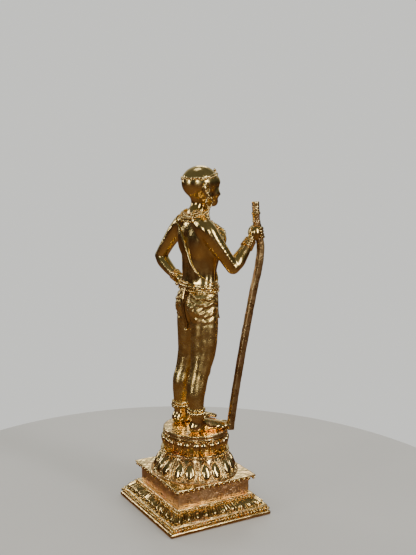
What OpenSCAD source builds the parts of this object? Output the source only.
// Standing temple figure of a young ascetic with a staff, cast in brass in separate pieces,
// on a double lotus seat and a stepped square pedestal.
// Millimetres. +Z is up and the figure faces -Y. The origin is the middle of the foot's underside.

/* [Pedestal] */
// Width of the pedestal's square foot
base_w = 45; // [43:0.5:47]
// Width of the recessed square block
dado_w = 32; // [31:0.5:33]
// Width of the square slab under the lotus
slab_w = 36; // [35:0.5:37]
// Number of petals in the drooping lower lotus
lower_petals = 9; // [8:1:10]
// Number of petals in the upright upper lotus
upper_petals = 12; // [10:1:14]

/* [Seat] */
// Diameter of the round seat that carries the feet
seat_d = 26.4; // [26:0.2:27]
// Diameter of the lower lotus where it meets the slab
lotus_d = 34.8; // [34:0.2:35.6]

/* [Figure] */
// Height from the soles to the crown of the head
figure_h = 103.6; // [98:0.2:106]
// Sideways reach of the left elbow from the middle of the body
elbow_reach = 22.5; // [20:0.5:23]

/* [Staff] */
// Width of the staff's flat bar
staff_w = 2.9; // [2.6:0.1:3.2]
// Thickness of the staff's flat bar
staff_t = 2.3; // [2:0.1:2.6]

/* [Hidden] */
$fn = 32;

brass = [0.80, 0.60, 0.24];
rough_brass = [0.66, 0.45, 0.22];
warm_brass = [0.84, 0.62, 0.32];

// Heights of the pedestal's tiers, from the floor up
plinth_z = 8.2;
slab_z = 14.5;
lotus_z = 16;
ring_z = 24;
upper_z = 25.4;
disc_z = 31.4;
seat_z = 33.5;

base_r = base_w / 2;
dado_r = dado_w / 2;
slab_r = slab_w / 2;
seat_r = seat_d / 2;
lotus_r = lotus_d / 2;
fit = 0.05;            // radial room between a spigot and its socket
foot_bead_z = [1.8, 3.3];
top_bead_z = [6.6, 7.8];
skirt = [[base_r - 2, 4.1], [base_r - 4.7, 6.6]];  // slope behind the petals, as half width and z
skirt_slope = 47.2;
petal_count = 10;
drop_z = 15.2;
dado_hole_r = 12.5;    // half width of the hollow inside the block
plinth_hole_r = 14;    // half width of the hollow at the top of the foot
slab_bore_r = 8;
lotus_bore_r = 6;
disc_bore_r = 5;
foot_peg_r = 1.4;
foot_peg_h = 1.8;
neck_peg_r = 2;
wrist_peg_r = 0.9;
lower_phase = 15;      // turn of the lower lotus about Z, in degrees
upper_phase = 8;
band_tilt = -9.4;      // the headband sits lower at the back of the head

// The figure's joints, with Z from the top of the seat. Right is -X, because it faces -Y.
crown = [0, -0.3, figure_h];
right_ankle = [-6.9, 3.4, 8];
left_ankle = [6.9, 3.2, 8];
right_elbow = [-13.5, -6.8, 66.3];
left_elbow = [elbow_reach, 3, 66.2];
right_wrist = [-11.4, -15.1, 73.3];
left_wrist = [12.2, 2.7, 59.4];
fist = [-11, -19.8, 78.7];
belt_z = 57.2;
waist = [9.6, 6.6];    // half width and half depth at the belt
neck_z = 84.5;

// The staff's middle line: a flat bar with a slow bow, then a kink inside the fist
staff_line = [
    [-7.2, -12.9, -1.6], [-7.8, -13.4, 11], [-9, -15.5, 31.5], [-9.9, -18.2, 49.5],
    [-10.6, -20.3, 63.5], [-11, -20.9, 73], [-11, -19.9, 79], [-11, -19, 82.5]
];
finial_base = [-11, -19, 82.5];
finial_lean = 5;       // lean of the finial, in degrees
finial_h = 8;

// ---------------------------------------------------------------- helpers

function unit(v) = v / norm(v);
function between(a, b, c, d, t) =
    0.5 * (2 * b + (c - a) * t + (2 * a - 5 * b + 4 * c - d) * t * t
    + (3 * b - a - 3 * c + d) * t * t * t);

// A curve through every item of p, with n steps to each span. Items are vectors of any one length.
function curve(p, n) = [
    for (i = [0:len(p) - 2], k = [0:n - 1])
        between(p[max(i - 1, 0)], p[i], p[i + 1], p[min(i + 2, len(p) - 1)], k / n),
    p[len(p) - 1]
];
// The same through a closed loop, which doesn't repeat its first item
function loop(p, n) = [
    for (i = [0:len(p) - 1], k = [0:n - 1])
        between(p[(i + len(p) - 1) % len(p)], p[i], p[(i + 1) % len(p)], p[(i + 2) % len(p)], k / n)
];
function ellipse(rx, ry, n) = [for (i = [0:n - 1]) [rx * cos(360 * i / n), ry * sin(360 * i / n), 0]];
function reversed(v) = [for (i = [len(v) - 1:-1:0]) v[i]];

// A skin over rings that all have the same number of points
module skin(rings, closed = false) {
    sides = len(rings[0]);
    count = len(rings);
    last = closed ? count - 1 : count - 2;
    points = [for (r = rings) each r];
    walls = [
        for (i = [0:last], k = [0:sides - 1])
            let (j = (i + 1) % count, m = (k + 1) % sides)
            each [
                [i * sides + k, i * sides + m, j * sides + m],
                [i * sides + k, j * sides + m, j * sides + k]
            ]
    ];
    caps = closed ? [] : [
        reversed([for (k = [0:sides - 1]) k]),
        [for (k = [0:sides - 1]) (count - 1) * sides + k]
    ];
    polyhedron(points, concat(walls, caps));
}

// A body of level ellipses, each [z, x, y, half width, half depth]
module loft(sections, n = 2, sides = 20)
    skin([
        for (s = curve(sections, n))
            [for (k = [0:sides - 1])
                [s[1] + s[3] * cos(-360 * k / sides), s[2] + s[4] * sin(-360 * k / sides), s[0]]]
    ]);

// A round limb along points [x, y, z, radius]; flat squashes it along up
module limb(points, n = 3, sides = 12, up = [1, 0, 0], flat = 1, closed = false) {
    p = closed ? loop(points, n) : curve(points, n);
    count = len(p);
    skin([
        for (i = [0:count - 1])
            let (
                a = closed ? p[(i + count - 1) % count] : p[max(i - 1, 0)],
                b = closed ? p[(i + 1) % count] : p[min(i + 1, count - 1)],
                along = unit([b[0] - a[0], b[1] - a[1], b[2] - a[2]]),
                side = unit(cross(along, up)),
                top = cross(side, along)
            )
            [for (k = [0:sides - 1])
                [p[i][0], p[i][1], p[i][2]]
                + p[i][3] * (cos(360 * k / sides) * side + flat * sin(360 * k / sides) * top)]
    ], closed);
}

// A closed ring of round section, with half widths rx and ry
module ring(rx, ry, r, up = [0, 0, 1])
    limb([for (p = ellipse(rx, ry, 24)) concat(p, r)], n = 1, sides = 8, up = up, closed = true);

// Points spaced evenly along an open or closed path of points
function steps(p) = [for (i = [0:len(p) - 2]) norm(p[i + 1] - p[i])];
function sums(v, i = 0, s = 0) = i >= len(v) ? [s] : concat([s], sums(v, i + 1, s + v[i]));
function spaced(p, count) =
    let (at = sums(steps(p)), total = at[len(at) - 1])
    [for (k = [0:count - 1])
        let (
            s = total * (k + 0.5) / count,
            i = max([for (j = [0:len(p) - 2]) at[j] <= s ? j : 0])
        )
        p[i] + (p[i + 1] - p[i]) * (s - at[i]) / (at[i + 1] - at[i])];

// A row of beads at these points, each a little clear of the next
module beads(points) {
    gap = min([for (i = [0:len(points) - 2]) norm(points[i + 1] - points[i])]);
    for (p = points)
        translate(p) sphere(0.47 * gap);
}

// A square moulding with mitred corners, from its outline of [half width, z]
module mitred(outline) {
    top = max([for (p = outline) p[1]]);
    both = concat(outline, reversed([for (p = outline) [-p[0], p[1]]]));
    span = 2 * max([for (p = outline) p[0]]);
    intersection_for (turn = [0, 90])
        rotate([90, 0, turn]) translate([0, 0, -span / 2])
            linear_extrude(span) polygon(both);
}

// Copies children along the four sides of a square, each side facing outwards
module four_sides() for (turn = [0:90:270]) rotate(turn) children();
module along_side(count, pitch)
    for (i = [0:count - 1]) translate([(i - (count - 1) / 2) * pitch, 0, 0]) children();

// A square block of half width r between two heights, and a square frame of it
module block(r, z0, z1) translate([-r, -r, z0]) cube([2 * r, 2 * r, z1 - z0]);
module frame(outer, inner, z0, z1) difference() {
    block(outer, z0, z1);
    block(inner, z0 - 1, z1 + 1);
}

// A square frame with a bead in each corner and count - 1 between them on every side
module bead_strip(r, count, bead_r, inner, z0, z1) {
    pitch = 2 * r / count;
    frame(r, inner, z0, z1);
    four_sides() for (i = [0:count - 1])
        translate([i * pitch - r, -r, (z0 + z1) / 2]) sphere(bead_r);
}
module around(count, phase) for (i = [0:count - 1]) rotate(phase + 360 * i / count) children();
module on_seat() translate([0, 0, seat_z]) children();

// ---------------------------------------------------------------- pedestal

module plinth() color(brass) difference() {
    mitred([
        [base_r, 0], [base_r, 1.4], [base_r - 0.5, foot_bead_z[0]], [base_r - 1.4, foot_bead_z[0]],
        [base_r - 1.4, foot_bead_z[1]], [base_r - 1.2, foot_bead_z[1]], [base_r - 1.2, 4.1],
        skirt[0], skirt[1], [base_r - 5.3, top_bead_z[0]], [base_r - 5.3, plinth_z]
    ]);
    block(base_r - 3.6, -1, 3);
    block(base_r - 6.8, 2.9, 5.2);
    block(plinth_hole_r, 5.1, plinth_z + 1);
}

// A thin sloping skirt with tongue-shaped petals that hang from the upper bead strip
module plinth_petals() color(warm_brass) {
    difference() {
        mitred([skirt[0] + [0.4, 0], skirt[1] + [0.4, 0]]);
        mitred([skirt[0] + [1, -1], skirt[0], skirt[1], skirt[1] + [-1, 1]]);
    }
    four_sides() translate([0, -skirt[0][0], skirt[0][1]]) rotate([skirt_slope, 0, 0])
        along_side(petal_count, 2 * (base_r - 3.4) / petal_count) translate([0, 0, 0.1])
            linear_extrude(0.8) {
                translate([0, 1.5]) circle(1.4);
                translate([-1.4, 1.5]) square([2.8, 1.6]);
            }
}

module foot_beads() color(warm_brass)
    bead_strip(base_r - 0.75, 30, 0.62, base_r - 1.4, foot_bead_z[0], foot_bead_z[1]);

module plinth_beads() color(warm_brass)
    bead_strip(base_r - 4.75, 27, 0.52, base_r - 5.3, top_bead_z[0], top_bead_z[1]);

module dado() color(rough_brass) difference() {
    union() {
        block(dado_r, plinth_z, slab_z);
        block(plinth_hole_r - fit, plinth_z - 1.2, plinth_z + 0.1);
    }
    block(dado_hole_r, 0, slab_z + 1);
}

module slab() color(brass) difference() {
    union() {
        block(slab_r - 1.3, slab_z, lotus_z);
        block(slab_r, drop_z, lotus_z);
        block(dado_hole_r - fit, slab_z - 1.2, slab_z + 0.1);
    }
    translate([0, 0, slab_z - 2]) cylinder(r = slab_bore_r, h = 4);
}

// A strip of pendent drops under the slab's overhang
module slab_drops() color(warm_brass) {
    frame(slab_r - 0.6, slab_r - 1.3, drop_z - 0.5, drop_z);
    four_sides() for (i = [0:14])
        translate([i * 2 * (slab_r - 0.6) / 15 - slab_r + 0.6, 0.6 - slab_r, drop_z - 1.3])
            cylinder(r = 0.62, h = 1.3);
}

// The lower lotus: a bell-shaped core with paired lobes that droop onto the slab
module lower_lotus() color(warm_brass) difference() {
    union() {
        translate([0, 0, lotus_z]) rotate_extrude($fn = 64) polygon([
            [0, 0], [lotus_r - 0.6, 0], [lotus_r - 0.6, 0.9], [lotus_r - 1.6, 2.2],
            [lotus_r - 3.2, 5], [seat_r - 0.4, ring_z - lotus_z], [0, ring_z - lotus_z]
        ]);
        translate([0, 0, lotus_z - 1.5]) cylinder(r = slab_bore_r - fit, h = 2);
        around(lower_petals, lower_phase) for (side = [-1, 1]) rotate(9.5 * side)
            translate([lotus_r - 2.6, 0, lotus_z + 3.3]) rotate([0, -24, 0])
                scale([0.62, 0.82, 1.35]) sphere(2.6);
    }
    translate([0, 0, ring_z - 1.5]) cylinder(r = lotus_bore_r, h = 2);
}

module lotus_bead_ring() color(warm_brass) {
    translate([0, 0, ring_z]) rotate_extrude($fn = 64) polygon([
        [lotus_bore_r, 0], [seat_r, 0], [seat_r + 0.1, 0.3], [seat_r - 0.5, 0.7],
        [seat_r + 0.1, 1.1], [seat_r - 0.2, upper_z - ring_z], [lotus_bore_r, upper_z - ring_z]
    ]);
}

module upper_lotus() color(warm_brass) difference() {
    union() {
        translate([0, 0, upper_z]) rotate_extrude($fn = 64) polygon([
            [0, 0], [seat_r - 1.2, 0], [seat_r - 0.7, 1.2], [seat_r - 0.2, 3.4], [seat_r - 0.5, 5.3],
            [seat_r - 1.2, disc_z - upper_z], [0, disc_z - upper_z]
        ]);
        translate([0, 0, ring_z - 1.4]) cylinder(r = lotus_bore_r - fit, h = 3);
        around(upper_petals, upper_phase) translate([seat_r - 1, 0, upper_z + 3])
            scale([0.5, 1.05, 0.9]) sphere(2.6);
    }
    translate([0, 0, disc_z - 1.5]) cylinder(r = disc_bore_r, h = 2);
}

module seat_disc() color(brass) difference() {
    union() {
        translate([0, 0, disc_z]) rotate_extrude($fn = 64) polygon([
            [0, 0], [seat_r - 0.3, 0], [seat_r, 0.4], [seat_r - 0.1, 0.9], [seat_r - 0.5, 1.1],
            [seat_r - 0.2, 1.4], [seat_r - 0.3, 1.8], [seat_r - 0.8, seat_z - disc_z],
            [0, seat_z - disc_z]
        ]);
        translate([0, 0, disc_z - 1.4]) cylinder(r = disc_bore_r - fit, h = 2);
    }
    for (a = [right_ankle, left_ankle])
        translate([a[0], a[1], seat_z - foot_peg_h]) cylinder(r = foot_peg_r + fit, h = foot_peg_h + 1);
}

// ---------------------------------------------------------------- figure

// A bare foot that stands on the seat, with a peg below the heel
module foot(a) {
    side = sign(a[0]);
    on_seat() {
        difference() {
            union() {
                hull() {
                    translate([a[0], a[1] + 1, 1.9]) sphere(2.3, $fn = 20);
                    translate([a[0], a[1], 6.2]) sphere(2.3, $fn = 20);
                    translate([a[0], a[1] - 6, 2.3]) sphere(1.6, $fn = 16);
                    translate([a[0] + side, a[1] - 11, 1]) sphere(1.1, $fn = 16);
                    translate([a[0] - side * 1.4, a[1] - 11, 1.1]) sphere(1.2, $fn = 16);
                }
                for (toe = [0:4])
                    translate([a[0] - side * (2 - toe), a[1] - 12.6 + 0.35 * toe * toe / 2, 0.9])
                        sphere(toe == 0 ? 1.1 : 0.8, $fn = 16);
            }
            block(20, -5, 0);
            translate([a[0], a[1], 7.4]) cylinder(r = 4, h = 5);
        }
        translate([a[0], a[1], 0.1 - foot_peg_h]) cylinder(r = foot_peg_r, h = foot_peg_h + 1);
    }
}
module right_foot() color(brass) foot(right_ankle);
module left_foot() color(brass) foot(left_ankle);

// Middle line and radius of a leg, from the ankle to inside the hip, for the side's sign
function leg_line(side) = [
    [side * 6.9, 3.4, 7.4, 2.4], [side * 6.8, 3.5, 12, 2.7], [side * 6.3, 2.9, 19.5, 3.35],
    [side * 6, 1.9, 25, 3.8], [side * 5.6, 0.6, 32, 4.5], [side * 5.4, 0.1, 39, 5.05],
    [side * 5.1, 0.2, 46, 5.3], [side * 4.6, 0.4, 51, 4.8]
];
module legs() color(brass) on_seat() difference() {
    union() {
        for (side = [-1, 1]) {
            limb(leg_line(side), n = 2, sides = 16);
            translate([side * 4.4, 3.3, 48.6]) sphere(4.6, $fn = 24);
        }
        loft([
            [42, 0, 0, 3, 3.6], [44.5, 0, 0.1, 8.2, 5.6], [49, 0, 0.2, 10, 6.4],
            [53, 0, 0, 9.8, 6.4], [belt_z - 0.4, 0, -0.2, waist[0] - 0.5, waist[1] - 0.6]
        ]);
    }
    translate([0, 0, belt_z - 3.4]) cylinder(r = 3, h = 5);
}

module torso() color(brass) on_seat() difference() {
    union() {
        loft([
            [belt_z - 0.4, 0, -0.2, waist[0] - 0.5, waist[1] - 0.6], [60, 0, -0.4, 8.7, 5.6],
            [64, 0, -0.7, 8.4, 5.4], [69, 0, -1.3, 9.2, 6.4], [74, 0, -1.6, 10.4, 7.3],
            [78, 0, -0.9, 10.6, 7], [81, 0, 0.8, 9.4, 5.4], [83, 0, 1.7, 5.6, 4.2],
            [neck_z, 0, 1.8, 3.9, 3.8]
        ]);
        limb([
            [-6, 2.7, 80.2, 2.9], [-9.4, 2.6, 79.6, 3.2], [-11.6, 1, 76.4, 3.1],
            [-13, -4, 69.8, 2.7], concat(right_elbow, 2.5), [-13, -9.4, 68.3, 2.5],
            concat(right_wrist, 1.75)
        ], sides = 14, up = [1, 0, 0]);
        limb([
            [6, 2.7, 80.2, 2.9], [9.4, 2.6, 79.6, 3.2], [12.6, 2.9, 76.6, 3.1],
            [elbow_reach - 2.6, 3, 69.4, 2.7], concat(left_elbow, 2.5),
            [elbow_reach - 3.2, 2.9, 63.9, 2.5], concat(left_wrist, 1.75)
        ], sides = 14, up = [0, 1, 0]);
    }
    translate([0, 1.8, neck_z - 3]) cylinder(r = neck_peg_r + fit, h = 5);
}

module ear(side) translate([side * 6.2, 1, 95.2]) rotate([12, 0, 0])
    scale([0.4, 0.8, 1.25]) sphere(1.9, $fn = 16);

module head() color(brass) on_seat() {
    loft([
        [neck_z, 0, 1.8, 3.7, 3.7], [87, 0, 1.2, 3.5, 3.6], [88.7, 0, -0.4, 3.9, 4.9],
        [91, 0, -0.6, 5.1, 6.8], [94.5, 0, -0.3, 5.9, 7.5], [98, 0, -0.2, 6.3, 7.8],
        [101.2, 0, -0.2, 5.1, 6.4], [102.9, 0, -0.3, 2.8, 3.6], crown_section
    ]);
    hull() {
        translate([0, -8.2, 93.2]) sphere(0.8, $fn = 16);
        translate([0, -7.2, 96.6]) sphere(0.5, $fn = 16);
    }
    for (side = [-1, 1]) ear(side);
    translate([0, 1.8, neck_z - 2.9]) cylinder(r = neck_peg_r, h = 4);
}
crown_section = [crown[2], crown[0], crown[1], 0.5, 0.6];

// A fist closed round the staff, with a square-shouldered tunnel where the bar goes through
module right_hand() color(brass) on_seat() difference() {
    union() {
        hull() {
            translate(fist + [0, 0, 1.3]) sphere(2.7, $fn = 24);
            translate(fist + [0, -0.3, -1.3]) sphere(2.8, $fn = 24);
            translate(right_wrist) sphere(1.6, $fn = 16);
        }
        for (finger = [0:3])
            translate(fist + [-1.1, -0.9, 2.1 - 1.35 * finger]) sphere(2, $fn = 20);
    }
    staff_shape();
    for (z = [3, -8.2])
        translate(fist + [-5, -5, z]) cube([10, 10, 5]);
}

module left_hand() color(brass) on_seat() hull() {
    translate(left_wrist) sphere(1.6, $fn = 16);
    translate([9.6, 0.6, 57.6]) sphere(1.7, $fn = 16);
    translate([9.7, -3, 56.4]) sphere(1.2, $fn = 16);
}

// ---------------------------------------------------------------- dress and ornaments

module loincloth_front() color(warm_brass) on_seat()
    limb([
        [0, -6.7, belt_z - 0.5, 2.6], [0, -7.2, 53, 2.9], [0, -7.2, 48.5, 2.8],
        [0, -7.8, 44.5, 2.4], [0, -8.7, 43, 1.8]
    ], up = [0, 1, 0], flat = 0.26, sides = 12);

module loincloth_tail() color(warm_brass) on_seat()
    limb([
        [0, 6.3, belt_z - 0.5, 1], [0, 6, 52, 0.9], [0, 5.6, 47, 0.8], [0, 5, 42.5, 0.8],
        [0, 4.8, 39.6, 0.7]
    ], up = [0, 1, 0], flat = 0.7, sides = 10);

module waist_belt() color(warm_brass) on_seat()
    translate([0, -0.2, belt_z]) ring(waist[0], waist[1], 0.75);

module waist_beads() color(warm_brass) on_seat() translate([0, -0.2, belt_z - 1.35])
    beads(spaced(concat(ellipse(waist[0] + 0.1, waist[1] + 0.1, 48), [[waist[0] + 0.1, 0, 0]]), 40));

// The cord goes from the left shoulder down the back to the right hip, and up across the chest
thread_line = [
    [7.4, 1.5, 83], [7.4, 5, 79.6], [5.6, 5.5, 75], [0.7, 5.3, 66.6], [-6.2, 3.6, 62],
    [-9.3, -1, 58.8], [-6.6, -5.4, 60.4], [0, -8, 67.5], [5.4, -7.3, 77], [7, -2.8, 82]
];
module sacred_thread() color(warm_brass) on_seat()
    limb([for (p = thread_line) concat(p, 0.45)], n = 4, sides = 8, closed = true, up = [1, 2, 1]);

// Two strands of beads lie one below the other round the neck
module strand(rx, ry, count, z) on_seat() translate([0, 1.3, z]) rotate([12, 0, 0])
    beads(spaced(concat(ellipse(rx, ry, 36), [[rx, 0, 0]]), count));
module neck_beads() color(warm_brass) strand(4.3, 4.5, 18, neck_z + 0.6);
module collar_beads() color(warm_brass) strand(5.5, 5.3, 22, neck_z - 0.8);

garland_line = [
    [0, 5.4, 84.4], [4.6, 4, 83.6], [6.6, 0, 82.8], [5.8, -5.2, 80.4], [4, -8.4, 77],
    [1.8, -9.4, 72.6], [0, -9.5, 71], [-1.8, -9.4, 72.6], [-4, -8.4, 77], [-5.8, -5.2, 80.4],
    [-6.6, 0, 82.8], [-4.6, 4, 83.6]
];
module garland() color(warm_brass) on_seat()
    beads(spaced(concat(loop(garland_line, 4), [garland_line[0]]), 34));

module garland_pendant() color(warm_brass) on_seat()
    translate([0, -9.5, 69.2]) scale([1, 0.5, 1.2]) sphere(1.5);

module headband() color(warm_brass) on_seat()
    translate([0, -0.2, 99.9]) rotate([band_tilt, 0, 0]) {
        beads(spaced(concat(ellipse(6.2, 7.6, 48), [[6.2, 0, 0]]), 40));
    }

module headband_knot() color(warm_brass) on_seat()
    translate([0, -8, 101.4]) sphere(1.05);

module earring(side) on_seat() translate([side * 6.1, 1.6, 91.2])
    rotate([0, 90, 0]) rotate_extrude($fn = 32) translate([1.25, 0]) circle(0.5, $fn = 16);
module right_earring() color(warm_brass) earring(-1);
module left_earring() color(warm_brass) earring(1);

// Three bangles fused side by side along the forearm, ending at the wrist
module bangles(wrist, elbow) {
    toward = unit(elbow - wrist);
    on_seat() translate(wrist - toward * 0.3)
        rotate([0, acos(toward[2]), atan2(toward[1], toward[0])])
            rotate_extrude() polygon([
                [1.5, 0], [2.3, 0], [2.6, 0.4], [2.3, 0.85], [2.6, 1.3], [2.3, 1.75],
                [2.6, 2.2], [2.3, 2.6], [1.5, 2.6]
            ]);
}
module right_bangles() color(warm_brass) bangles(right_wrist, right_elbow);
module left_bangles() color(warm_brass) bangles(left_wrist, left_elbow);

module anklet(a) on_seat() translate([a[0], a[1], a[2]]) {
    rotate_extrude($fn = 40) translate([2.6, 0]) circle(0.6, $fn = 16);
    translate([0, 0, -1.3]) beads(ellipse(2.9, 2.9, 14));
}
module right_anklet() color(warm_brass) anklet(right_ankle);
module left_anklet() color(warm_brass) anklet(left_ankle);

// ---------------------------------------------------------------- staff

module staff_shape()
    limb(
        [for (p = staff_line) concat(p, staff_w / 2)],
        n = 3, sides = 12, up = [1, 0.3, 0], flat = staff_t / staff_w
    );

module staff_bar() color(rough_brass) on_seat() staff_shape();

module staff_finial() color(brass) on_seat() translate(finial_base) rotate([finial_lean, 0, 0])
    rotate_extrude($fn = 40) polygon([
        [0, 0], [1.7, 0], [1.75, 0.7], [1.3, 1.1], [1.35, 4], [1.7, 4.4], [1.7, 5],
        [1.35, 5.4], [1.35, finial_h - 0.2], [1.2, finial_h], [0, finial_h]
    ]);

plinth();
plinth_petals();
foot_beads();
plinth_beads();
dado();
slab();
slab_drops();
lower_lotus();
lotus_bead_ring();
upper_lotus();
seat_disc();
right_foot();
left_foot();
legs();
torso();
head();
right_hand();
left_hand();
loincloth_front();
loincloth_tail();
waist_belt();
waist_beads();
sacred_thread();
neck_beads();
collar_beads();
garland();
garland_pendant();
headband();
headband_knot();
right_earring();
left_earring();
right_bangles();
left_bangles();
right_anklet();
left_anklet();
staff_bar();
staff_finial();
